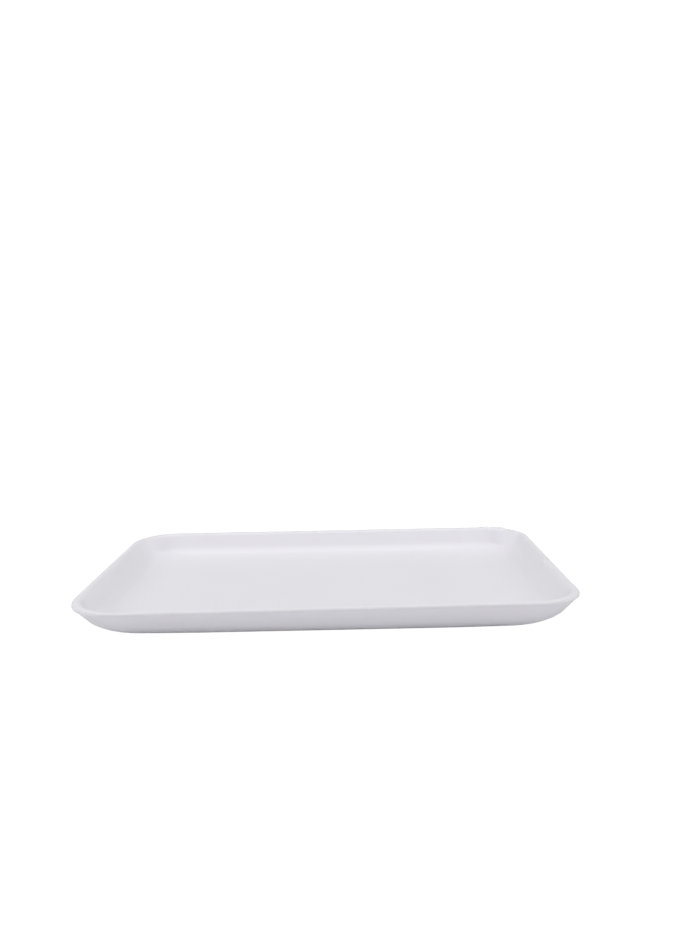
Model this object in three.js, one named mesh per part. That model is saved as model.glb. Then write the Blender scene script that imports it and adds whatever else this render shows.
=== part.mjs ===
// A shallow foam meat tray: one sheet of expanded polystyrene, formed in one stroke.
// Millimetres, +Z up. The origin is the middle of the flat underside.

import * as THREE from 'three';

// Driving dimensions: the plan
const length = 220;
const width = 141;
const rimCornerRadius = 21.5;
const floorCornerRadius = 6.5;
const baseCornerRadius = 18;

// Driving dimensions: the section through a wall
const height = 14.5;
const floorThickness = 4.5;
const wallThickness = 3.6;
const wallLean = THREE.MathUtils.degToRad(33);
const landWidth = 3.3;
const lipThickness = 1.9;

// Driving dimensions: the rounding of the section
const lipTopRadius = 1.6;
const lipUnderRadius = 0.4;
const landRadius = 3;
const underLipRadius = 2;
const floorRadius = 7;
const baseRadius = 13;

// How late the inside corner tightens on its way down: 1 is evenly, more is later
const cornerEase = 2;

// How finely the round stretches are divided
const cornerSteps = 12;
const filletSteps = 6;

// Where the wall's inner face is at a height, and where its outer face is
const innerWallInset = (z) => landWidth + (height - z) * Math.tan(wallLean);
const outerWallInset = (z) => innerWallInset(z) - wallThickness / Math.cos(wallLean);

// The floor is drawn in from the wall's foot so far that its fillet ends on it
const flatStart = (inset, radius) => inset + radius * Math.tan((Math.PI / 2 - wallLean) / 2);
const floorFoot = innerWallInset(floorThickness);
const baseFoot = outerWallInset(0);
const floorFlatInset = flatStart(floorFoot, floorRadius);
const baseFlatInset = flatStart(baseFoot, baseRadius);

// The plan's corner radius inside stays large by the lip and gets tight at the wall's foot
function insideCorner(inset) {
  const inward = Math.min(inset / floorFoot, 1) ** cornerEase;
  return THREE.MathUtils.lerp(rimCornerRadius, floorCornerRadius, inward);
}

// Outside, the base's corners are nearly as round as the rim's
function outsideCorner(inset) {
  return THREE.MathUtils.lerp(rimCornerRadius, baseCornerRadius, inset / baseFlatInset);
}

// A corner of the section: its distance in from the rim's outline, its height, its rounding,
// and the rule for the plan's corner radius on its side of the sheet
const corner = (inset, z, radius, planCorner) => (
  { point: new THREE.Vector2(inset, z), radius, planCorner }
);

// The section from the edge of the flat floor, up and over the lip, down to the flat underside
function wallSection() {
  const underLip = height - lipThickness;
  return [
    corner(floorFlatInset, floorThickness, 0, insideCorner),
    corner(floorFoot, floorThickness, floorRadius, insideCorner),
    corner(landWidth, height, landRadius, insideCorner),
    corner(0, height, lipTopRadius, outsideCorner),
    corner(0, underLip, lipUnderRadius, outsideCorner),
    corner(outerWallInset(underLip), underLip, underLipRadius, outsideCorner),
    corner(baseFoot, 0, baseRadius, outsideCorner),
    corner(baseFlatInset, 0, 0, outsideCorner),
  ];
}

// Half of the angle between the two sides that meet in a corner of the section
function halfAngleAt(corners, i) {
  const back = corners[i - 1].point.clone().sub(corners[i].point);
  const ahead = corners[i + 1].point.clone().sub(corners[i].point);
  return Math.acos(back.dot(ahead) / (back.length() * ahead.length())) / 2;
}

// How far along its sides each fillet would reach if it had all the room that it wants
function wantedReach(corners) {
  return corners.map(({ radius }, i) => (
    radius === 0 ? 0 : radius / Math.tan(halfAngleAt(corners, i))
  ));
}

// Rounds each corner with an arc that meets both of its sides. Two fillets that want more than
// the side between them share it in the proportion of what they want.
function roundedSection(corners) {
  const wanted = wantedReach(corners);
  const rounded = [corners[0]];
  for (let i = 1; i < corners.length - 1; i += 1) {
    const { point, planCorner } = corners[i];
    const back = corners[i - 1].point.clone().sub(point);
    const ahead = corners[i + 1].point.clone().sub(point);
    const shareBack = back.length() / (wanted[i] + wanted[i - 1]);
    const shareAhead = ahead.length() / (wanted[i] + wanted[i + 1]);
    const reach = wanted[i] * Math.min(1, shareBack, shareAhead);
    const from = point.clone().addScaledVector(back.normalize(), reach);
    const to = point.clone().addScaledVector(ahead.normalize(), reach);
    const arc = arcPoints(from, point, to, reach * Math.tan(halfAngleAt(corners, i)));
    rounded.push(...arc.map((at) => ({ point: at, planCorner })));
  }
  rounded.push(corners[corners.length - 1]);
  return withoutDoubles(rounded);
}

// The points of the arc of a radius that runs from one tangent point to the other
function arcPoints(from, apex, to, radius) {
  const middle = from.clone().add(to).multiplyScalar(0.5);
  const outward = apex.clone().sub(middle).normalize();
  const halfChord = from.distanceTo(to) / 2;
  const centre = middle.addScaledVector(outward, -Math.sqrt(radius ** 2 - halfChord ** 2));
  const start = from.clone().sub(centre).angle();
  const turn = from.clone().sub(centre).cross(to.clone().sub(centre));
  const sweep = Math.sign(turn) * 2 * Math.asin(halfChord / radius);
  const arc = new THREE.EllipseCurve(
    centre.x, centre.y, radius, radius, start, start + sweep, sweep < 0,
  );
  return arc.getPoints(filletSteps);
}

// Leaves out a point that lies on the one before it
function withoutDoubles(rounded) {
  const least = 1e-4;
  return rounded.filter(({ point }, i) => (
    i === 0 || point.distanceTo(rounded[i - 1].point) > least
  ));
}

// The plan outline at a distance in from the rim, anticlockwise from above
function planOutline(inset, radius) {
  const x = length / 2 - inset - radius;
  const y = width / 2 - inset - radius;
  const centres = [[x, y], [-x, y], [-x, -y], [x, -y]];
  return centres.flatMap(([centreX, centreY], quarter) => {
    const start = (quarter * Math.PI) / 2;
    const arc = new THREE.EllipseCurve(
      centreX, centreY, radius, radius, start, start + Math.PI / 2, false,
    );
    return arc.getPoints(cornerSteps);
  });
}

// A closed body: the plan outline carried along the section, with a flat face at either end
function formedTray() {
  const rings = roundedSection(wallSection()).map(({ point, planCorner }) => (
    { outline: planOutline(point.x, planCorner(point.x)), z: point.y }
  ));
  const around = rings[0].outline.length;
  const positions = rings.flatMap(({ outline, z }) => outline.flatMap(({ x, y }) => [x, y, z]));
  const index = [];
  for (let ring = 0; ring < rings.length - 1; ring += 1) {
    for (let i = 0; i < around; i += 1) {
      const next = (i + 1) % around;
      const a = ring * around + i;
      const b = ring * around + next;
      const c = a + around;
      const d = b + around;
      index.push(a, c, b, b, c, d);
    }
  }
  const floorFaces = THREE.ShapeUtils.triangulateShape(rings[0].outline, []);
  const lastRing = rings.length - 1;
  const baseFaces = THREE.ShapeUtils.triangulateShape(rings[lastRing].outline, []);
  floorFaces.forEach(([a, b, c]) => index.push(a, b, c));
  baseFaces.forEach((face) => {
    const [a, b, c] = face.map((i) => i + lastRing * around);
    index.push(a, c, b);
  });
  const geometry = new THREE.BufferGeometry();
  geometry.setAttribute('position', new THREE.Float32BufferAttribute(positions, 3));
  geometry.setIndex(index);
  geometry.computeVertexNormals();
  return geometry;
}

const whiteFoam = new THREE.MeshStandardMaterial({
  name: 'white_foam',
  color: 0xf1f0f3,
  roughness: 0.62,
  metalness: 0,
});

const tray = new THREE.Mesh(formedTray(), whiteFoam);
tray.name = 'tray';

const foamMeatTray = new THREE.Group();
foamMeatTray.add(tray);

export default foamMeatTray;
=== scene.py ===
import math

import bmesh
import bpy
from mathutils import Matrix, Vector, noise


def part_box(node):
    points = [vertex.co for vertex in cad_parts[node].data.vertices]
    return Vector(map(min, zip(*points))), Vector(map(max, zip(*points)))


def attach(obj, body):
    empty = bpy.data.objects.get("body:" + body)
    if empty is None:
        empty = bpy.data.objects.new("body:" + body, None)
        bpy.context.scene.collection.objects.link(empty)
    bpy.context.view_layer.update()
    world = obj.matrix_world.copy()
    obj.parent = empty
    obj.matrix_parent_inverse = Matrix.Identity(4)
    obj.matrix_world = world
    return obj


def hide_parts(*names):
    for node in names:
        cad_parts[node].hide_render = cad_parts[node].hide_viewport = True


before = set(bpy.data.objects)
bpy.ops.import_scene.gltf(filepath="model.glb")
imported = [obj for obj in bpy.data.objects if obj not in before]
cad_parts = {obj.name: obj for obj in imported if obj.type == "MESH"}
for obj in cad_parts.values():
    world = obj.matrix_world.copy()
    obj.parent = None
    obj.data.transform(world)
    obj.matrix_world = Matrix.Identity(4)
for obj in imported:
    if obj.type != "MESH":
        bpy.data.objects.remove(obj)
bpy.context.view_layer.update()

# Camera
# It stands a tray's length and a half in front of the tray and looks a little down on it.
# It leans by about a degree, so that the tray rises to the right as it does in the photograph.
MM = 0.001
camera_place = Vector((10.7, -383.2, 120.4)) * MM
camera_down = math.radians(8.67)
camera_turn = math.radians(-0.15)
camera_lean = math.radians(-1.11)
camera_data = bpy.data.cameras.new("camera")
camera_data.lens = 30.58
camera_data.sensor_width = 36.0
camera_data.clip_start = 0.01
camera = bpy.data.objects.new("camera", camera_data)
camera.matrix_world = (
    Matrix.Translation(camera_place)
    @ Matrix.Rotation(camera_turn, 4, "Z")
    @ Matrix.Rotation(math.pi / 2 - camera_down, 4, "X")
    @ Matrix.Rotation(camera_lean, 4, "Z")
)
bpy.context.scene.collection.objects.link(camera)
bpy.context.scene.camera = camera

# Formed tray
# One sheet of white polystyrene foam, pressed between two warm moulds in one stroke, then
# punched out of the web, which leaves the lip's cut face.
low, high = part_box("tray")
tray_length = high.x - low.x
tray_width = high.y - low.y
tray_height = high.z
floor_thickness = 4.5 * MM
wall_thickness = 3.6 * MM
wall_lean = math.radians(33)
land_width = 3.3 * MM
land_fall = 0.5 * MM
lip_thickness = 1.9 * MM
lip_top_rounding = 0.8 * MM
lip_under_rounding = 0.4 * MM
shoulder_rounding = 3 * MM
under_lip_rounding = 2 * MM
floor_rounding = 7 * MM
base_rounding = 13 * MM
rim_corner = 21.5 * MM
floor_corner = 6.5 * MM
base_corner = 18 * MM
corner_ease = 2

# In metres: as close as this, heights count as one height and points as one point
same_line = 1e-7
same_place = 1e-6


def inner_wall(z):
    """How far in from the rim's outline the wall's inner face is at a height."""
    return land_width + (tray_height - z) * math.tan(wall_lean)


def outer_wall(z):
    """The same for the wall's outer face."""
    return inner_wall(z) - wall_thickness / math.cos(wall_lean)


def flat_start(foot, rounding):
    """Where the rounding at the wall's foot runs out into the flat."""
    return foot + rounding * math.tan((math.pi / 2 - wall_lean) / 2)


under_lip = tray_height - lip_thickness
floor_foot = inner_wall(floor_thickness)
base_foot = outer_wall(0)
base_flat = flat_start(base_foot, base_rounding)


def mould_corner(inset, z):
    """The plan's corner radius: the upper mould's inside the sheet, the lower mould's outside."""
    middle = (inner_wall(z) + outer_wall(z)) / 2
    if z < floor_thickness - same_line or inset < middle:
        return rim_corner + (base_corner - rim_corner) * inset / base_flat
    inward = min(inset / floor_foot, 1)
    return rim_corner + (floor_corner - rim_corner) * inward**corner_ease


# The section's corners with their roundings, from the corner's axis over the lip and back
section_corners = [
    (rim_corner, floor_thickness, 0),
    (flat_start(floor_foot, floor_rounding), floor_thickness, 0),
    (floor_foot, floor_thickness, floor_rounding),
    (land_width, tray_height, shoulder_rounding),
    (0, tray_height - land_fall, lip_top_rounding),
    (0, under_lip, lip_under_rounding),
    (outer_wall(under_lip), under_lip, under_lip_rounding),
    (base_foot, 0, base_rounding),
    (base_flat, 0, 0),
    (rim_corner, 0, 0),
]
section_segments = 8
nearly_all = 0.999


def round_section(mesh):
    """Draws the section with rounded corners as an open line, and returns its edges."""
    start_y = tray_width / 2 - rim_corner
    corners = [
        mesh.verts.new((tray_length / 2 - inset, start_y, z)) for inset, z, _ in section_corners
    ]
    mesh.faces.new(corners)
    places = [vert.co.copy() for vert in corners]
    wanted = [0.0] * len(corners)
    for i, (_, _, rounding) in enumerate(section_corners):
        if rounding:
            turn = (places[i] - places[i - 1]).angle(places[i + 1] - places[i])
            wanted[i] = rounding * math.tan(turn / 2)
    for i, vert in enumerate(corners):
        if wanted[i]:
            back = (places[i] - places[i - 1]).length / (wanted[i] + wanted[i - 1])
            ahead = (places[i + 1] - places[i]).length / (wanted[i] + wanted[i + 1])
            bmesh.ops.bevel(
                mesh,
                geom=[vert],
                offset=wanted[i] * min(nearly_all, back, ahead),
                offset_type="OFFSET",
                affect="VERTICES",
                segments=section_segments,
                profile=0.5,
                material=-1,
            )
    bmesh.ops.delete(mesh, geom=mesh.faces[:], context="FACES_ONLY")
    axis_x = tray_length / 2 - rim_corner
    closing = [e for e in mesh.edges if all(abs(v.co.x - axis_x) < same_line for v in e.verts)]
    bmesh.ops.delete(mesh, geom=closing, context="EDGES_FACES")
    bmesh.ops.remove_doubles(mesh, verts=mesh.verts, dist=same_place)
    return mesh.edges[:]


def draw_to_middle(mesh, edges, way, steps):
    """Extrudes edges in equal steps to the middle of the tray, along its length or its width."""
    for left in reversed(range(steps)):
        out = bmesh.ops.extrude_edge_only(mesh, edges=edges)["geom"]
        verts = [g for g in out if isinstance(g, bmesh.types.BMVert)]
        closer = Vector((1, 1, 1))
        closer["XY".index(way)] = left / (left + 1)
        bmesh.ops.scale(mesh, vec=closer, verts=verts)
        edges = [
            g
            for g in out
            if isinstance(g, bmesh.types.BMEdge) and all(v in verts for v in g.verts)
        ]


corner_steps = 24
sheet_step = 1.5 * MM
axis = Vector((tray_length / 2 - rim_corner, tray_width / 2 - rim_corner, 0))
steps_x = round(axis.x / sheet_step)
steps_y = round(axis.y / sheet_step)
mesh = bmesh.new()
section = round_section(mesh)
turned = bmesh.ops.spin(
    mesh,
    geom=section + mesh.verts[:],
    cent=axis,
    axis=(0, 0, 1),
    angle=math.pi / 2,
    steps=corner_steps,
    use_merge=False,
)["geom_last"]
turned_edges = [g for g in turned if isinstance(g, bmesh.types.BMEdge)]

# Each arc round the corner gets the moulds' own radius, and its centre moves along the
# diagonal, so that it still runs out into the straight walls
level = Vector((1, 1, 0))
for vert in mesh.verts:
    arm = (vert.co - axis) * level
    if arm.length > same_place:
        grown = mould_corner(rim_corner - arm.length, vert.co.z) - arm.length
        vert.co += grown * (arm.normalized() - level)

# The straight walls, the floor and the underside run on from the corner, and the quarter
# that they make is mirrored to a whole tray
draw_to_middle(mesh, turned_edges, "X", steps_x)
draw_to_middle(mesh, section, "Y", steps_y)
bmesh.ops.remove_doubles(mesh, verts=mesh.verts, dist=same_place)


def ends_middle(vert):
    """Whether a point lies on the line where the middle of the tray is still open."""
    return abs(vert.co.x - axis.x) < same_place and vert.co.y < axis.y + same_place


middle_edges = [e for e in mesh.edges if e.is_boundary and all(ends_middle(v) for v in e.verts)]
draw_to_middle(mesh, middle_edges, "X", steps_x)
bmesh.ops.remove_doubles(mesh, verts=mesh.verts, dist=same_place)
for side in "XY":
    quarter = mesh.verts[:] + mesh.edges[:] + mesh.faces[:]
    bmesh.ops.mirror(mesh, geom=quarter, merge_dist=same_place, axis=side)
bmesh.ops.remove_doubles(mesh, verts=mesh.verts, dist=same_place)
bmesh.ops.recalc_face_normals(mesh, faces=mesh.faces)

# The lip's cut face is a material of its own, which runs a little way over the lip's edge
skin, cut_edge = 0, 1
least_slope, most_slope = -0.4, 0.95
for face in mesh.faces:
    face.smooth = True
    middle = face.calc_center_median()
    on_cut = least_slope < face.normal.z < most_slope and middle.z > under_lip
    face.material_index = cut_edge if on_cut and face.normal.dot(middle) > 0 else skin

# Handling has left a ragged burr on the far rim and two small nicks on the right one
burr_start, burr_end = 86.5 * MM, 101 * MM
burr_width = 2.6 * MM
burr_height = 0.7 * MM
burr_evenness, burr_raggedness = 0.5, 1.2
burr_end_slope = 4
crumb = 1.1 * MM
nicks = [Vector((106.0, -10.0, 13.3)) * MM, Vector((107.0, -5.0, 14.0)) * MM]
nick_size = 2.2 * MM
nick_depth = 1.1 * MM
nick_evenness, nick_raggedness = 0.5, 2
into_wall = Vector((0.84, 0, -0.54))
torn_cuts = 2


def by_burr(place):
    """Whether a place is on the top of the rim where it's torn."""
    arm = Vector((max(place.x - axis.x, 0), max(place.y - axis.y, 0)))
    by_rim = arm.length > rim_corner - burr_width and place.z > under_lip
    return by_rim and burr_start < place.x < burr_end


def by_nick(place):
    """Whether a place is near one of the nicks, within twice its size."""
    return any((place - nick).length < 2 * nick_size for nick in nicks)


torn = [e for e in mesh.edges if all(by_burr(v.co) or by_nick(v.co) for v in e.verts)]
bmesh.ops.subdivide_edges(mesh, edges=torn, cuts=torn_cuts, use_grid_fill=True)
for vert in mesh.verts:
    if by_burr(vert.co):
        along = (vert.co.x - burr_start) / (burr_end - burr_start)
        ragged = burr_evenness + burr_raggedness * noise.noise(vert.co / crumb)
        swell = min(burr_end_slope * math.sin(math.pi * along), 1)
        vert.co.z += min(max(ragged, 0), 1) * swell * burr_height
    for nick in nicks:
        near = 1 - (vert.co - nick).length / nick_size
        if near > 0:
            ragged = nick_evenness + nick_raggedness * noise.noise(vert.co / crumb)
            vert.co += into_wall * nick_depth * near * ragged

# The sheet has sprung a little out of true since it left the moulds: the near rim is twisted,
# the underside curls up towards its ends, and the rim has a slight wave
near_lift = 0.05 * MM
near_twist = 0.72 * MM
end_curl = 1.2 * MM
curl_start = 0.4
sheet_wave = 0.05 * MM
wave_length = 70 * MM
quarter_width = tray_width / 4
for vert in mesh.verts:
    rise = vert.co.z / tray_height
    along = 2 * vert.co.x / tray_length
    near = min(max(-vert.co.y / quarter_width - 1, 0), 1)
    eased = near * near * (3 - 2 * near)
    end = max(abs(along) - curl_start, 0) / (1 - curl_start)
    wave = noise.noise(vert.co * level / wave_length)
    vert.co.z += rise * (eased * (near_twist * along + near_lift) + sheet_wave * wave)
    vert.co.z += (1 - min(rise, 1)) * end_curl * end * end
tray_mesh = bpy.data.meshes.new("formed_tray")
mesh.to_mesh(tray_mesh)
mesh.free()
tray = bpy.data.objects.new("formed_tray", tray_mesh)
bpy.context.scene.collection.objects.link(tray)

# Closed foam cells show as a faint grain in the colour, the gloss and the relief. Clouds a
# centimetre wide make the grain stronger in one place than in another.
clouds_per_metre = 90
cloud_detail = 3
gloss_spread = 0.18
cells = bpy.data.node_groups.new("closed_cells", "ShaderNodeTree")
cells.interface.new_socket("Cells per Metre", in_out="INPUT", socket_type="NodeSocketFloat")
cells.interface.new_socket("Relief", in_out="INPUT", socket_type="NodeSocketFloat")
cells.interface.new_socket("Wall Color", in_out="INPUT", socket_type="NodeSocketColor")
cells.interface.new_socket("Cell Color", in_out="INPUT", socket_type="NodeSocketColor")
cells.interface.new_socket("Roughness", in_out="INPUT", socket_type="NodeSocketFloat")
cells.interface.new_socket("Color", in_out="OUTPUT", socket_type="NodeSocketColor")
cells.interface.new_socket("Roughness", in_out="OUTPUT", socket_type="NodeSocketFloat")
cells.interface.new_socket("Normal", in_out="OUTPUT", socket_type="NodeSocketVector")
nodes = cells.nodes
links = cells.links
given = nodes.new("NodeGroupInput")
result = nodes.new("NodeGroupOutput")
position = nodes.new("ShaderNodeTexCoord")
cell = nodes.new("ShaderNodeTexVoronoi")
cell.feature = "SMOOTH_F1"
links.new(position.outputs["Object"], cell.inputs["Vector"])
links.new(given.outputs["Cells per Metre"], cell.inputs["Scale"])
cloud = nodes.new("ShaderNodeTexNoise")
cloud.inputs["Scale"].default_value = clouds_per_metre
cloud.inputs["Detail"].default_value = cloud_detail
links.new(position.outputs["Object"], cloud.inputs["Vector"])
blend = nodes.new("ShaderNodeMath")
blend.operation = "MULTIPLY"
links.new(cell.outputs["Distance"], blend.inputs[0])
links.new(cloud.outputs["Fac"], blend.inputs[1])
tone = nodes.new("ShaderNodeMix")
tone.data_type = "RGBA"
links.new(blend.outputs[0], tone.inputs["Factor"])
links.new(given.outputs["Cell Color"], tone.inputs[6])
links.new(given.outputs["Wall Color"], tone.inputs[7])
links.new(tone.outputs[2], result.inputs["Color"])
spread = nodes.new("ShaderNodeMath")
spread.operation = "MULTIPLY_ADD"
spread.inputs[1].default_value = gloss_spread
links.new(cloud.outputs["Fac"], spread.inputs[0])
links.new(given.outputs["Roughness"], spread.inputs[2])
links.new(spread.outputs[0], result.inputs["Roughness"])
relief = nodes.new("ShaderNodeBump")
relief.inputs["Strength"].default_value = 1.0
links.new(given.outputs["Relief"], relief.inputs["Distance"])
links.new(cell.outputs["Distance"], relief.inputs["Height"])
links.new(relief.outputs["Normal"], result.inputs["Normal"])

# Light goes a little way into the foam before it comes out again
foam_ior = 1.45
scatter_share = 0.25
scatter_depth = 1.5 * MM


def foam(name, cells_per_metre, relief_depth, wall_color, cell_color, roughness):
    """White foam whose cells are flattened to a skin, or cut open."""
    material = bpy.data.materials.new(name)
    material.use_nodes = True
    shader = material.node_tree.nodes["Principled BSDF"]
    shader.inputs["Base Color"].default_value = wall_color
    shader.inputs["Roughness"].default_value = roughness
    shader.inputs["IOR"].default_value = foam_ior
    shader.inputs["Subsurface Weight"].default_value = scatter_share
    shader.inputs["Subsurface Radius"].default_value = (1, 1, 1)
    shader.inputs["Subsurface Scale"].default_value = scatter_depth
    grain = material.node_tree.nodes.new("ShaderNodeGroup")
    grain.node_tree = cells
    grain.inputs["Cells per Metre"].default_value = cells_per_metre
    grain.inputs["Relief"].default_value = relief_depth
    grain.inputs["Wall Color"].default_value = wall_color
    grain.inputs["Cell Color"].default_value = cell_color
    grain.inputs["Roughness"].default_value = roughness
    material.node_tree.links.new(grain.outputs["Color"], shader.inputs["Base Color"])
    material.node_tree.links.new(grain.outputs["Roughness"], shader.inputs["Roughness"])
    material.node_tree.links.new(grain.outputs["Normal"], shader.inputs["Normal"])
    return material


foam_skin = foam(
    "foam_skin",
    cells_per_metre=2200,
    relief_depth=0.012 * MM,
    wall_color=(0.86, 0.85, 0.885, 1),
    cell_color=(0.83, 0.82, 0.86, 1),
    roughness=0.42,
)
foam_cut_edge = foam(
    "foam_cut_edge",
    cells_per_metre=1500,
    relief_depth=0.08 * MM,
    wall_color=(0.85, 0.84, 0.87, 1),
    cell_color=(0.75, 0.74, 0.78, 1),
    roughness=0.62,
)
tray_mesh.materials.append(foam_skin)
tray_mesh.materials.append(foam_cut_edge)
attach(tray, "root")
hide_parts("tray")

# Studio
# A plain white table under large softboxes, in a white room.
# Table and room are so bright that they burn out to pure white behind the tray.
table_reach = 6.0
table_color = (0.85, 0.85, 0.86, 1)
table_glow = 1.1
glow_share = 0.94
room_brightness = 0.18
backdrop_brightness = 1.05
table_mesh = bpy.data.meshes.new("table")
mesh = bmesh.new()
bmesh.ops.create_grid(mesh, x_segments=1, y_segments=1, size=table_reach)
mesh.to_mesh(table_mesh)
mesh.free()
table = bpy.data.objects.new("table", table_mesh)
bpy.context.scene.collection.objects.link(table)

pale = bpy.data.materials.new("pale_table")
pale.use_nodes = True
nodes = pale.node_tree.nodes
links = pale.node_tree.links
nodes.clear()
output = nodes.new("ShaderNodeOutputMaterial")
matt = nodes.new("ShaderNodeBsdfDiffuse")
matt.inputs["Color"].default_value = table_color
glow = nodes.new("ShaderNodeEmission")
glow.inputs["Color"].default_value = (1, 1, 1, 1)
glow.inputs["Strength"].default_value = table_glow
seen = nodes.new("ShaderNodeLightPath")
share = nodes.new("ShaderNodeMath")
share.operation = "MULTIPLY"
share.inputs[1].default_value = glow_share
mix = nodes.new("ShaderNodeMixShader")
links.new(seen.outputs["Is Camera Ray"], share.inputs[0])
links.new(share.outputs[0], mix.inputs[0])
links.new(matt.outputs[0], mix.inputs[1])
links.new(glow.outputs[0], mix.inputs[2])
links.new(mix.outputs[0], output.inputs["Surface"])
table_mesh.materials.append(pale)

world = bpy.data.worlds.new("white_room")
world.use_nodes = True
bpy.context.scene.world = world
nodes = world.node_tree.nodes
links = world.node_tree.links
nodes.clear()
output = nodes.new("ShaderNodeOutputWorld")
room = nodes.new("ShaderNodeBackground")
room.inputs["Color"].default_value = (1, 1, 1, 1)
room.inputs["Strength"].default_value = room_brightness
backdrop = nodes.new("ShaderNodeBackground")
backdrop.inputs["Color"].default_value = (1, 1, 1, 1)
backdrop.inputs["Strength"].default_value = backdrop_brightness
seen = nodes.new("ShaderNodeLightPath")
mix = nodes.new("ShaderNodeMixShader")
links.new(seen.outputs["Is Camera Ray"], mix.inputs[0])
links.new(room.outputs[0], mix.inputs[1])
links.new(backdrop.outputs[0], mix.inputs[2])
links.new(mix.outputs[0], output.inputs["Surface"])


def softbox(name, place, size, watts):
    """A square area light at a place, turned to the tray."""
    data = bpy.data.lights.new(name, "AREA")
    data.size = size
    data.energy = watts
    lamp = bpy.data.objects.new(name, data)
    lamp.location = place
    lamp.rotation_euler = (-place).to_track_quat("-Z", "Y").to_euler()
    bpy.context.scene.collection.objects.link(lamp)


softbox("overhead", Vector((0, 0.3, 1.2)), size=1.0, watts=4.9)
softbox("over_camera", Vector((0, -1.1, 1.1)), size=0.9, watts=5.4)
softbox("left_side", Vector((-1.2, 0, 0.8)), size=0.8, watts=7.3)
softbox("right_side", Vector((1.2, 0, 0.8)), size=0.8, watts=6.8)
softbox("low_front", Vector((0, -1.4, 0.35)), size=0.7, watts=1.8)
bpy.context.scene.view_settings.view_transform = "Standard"
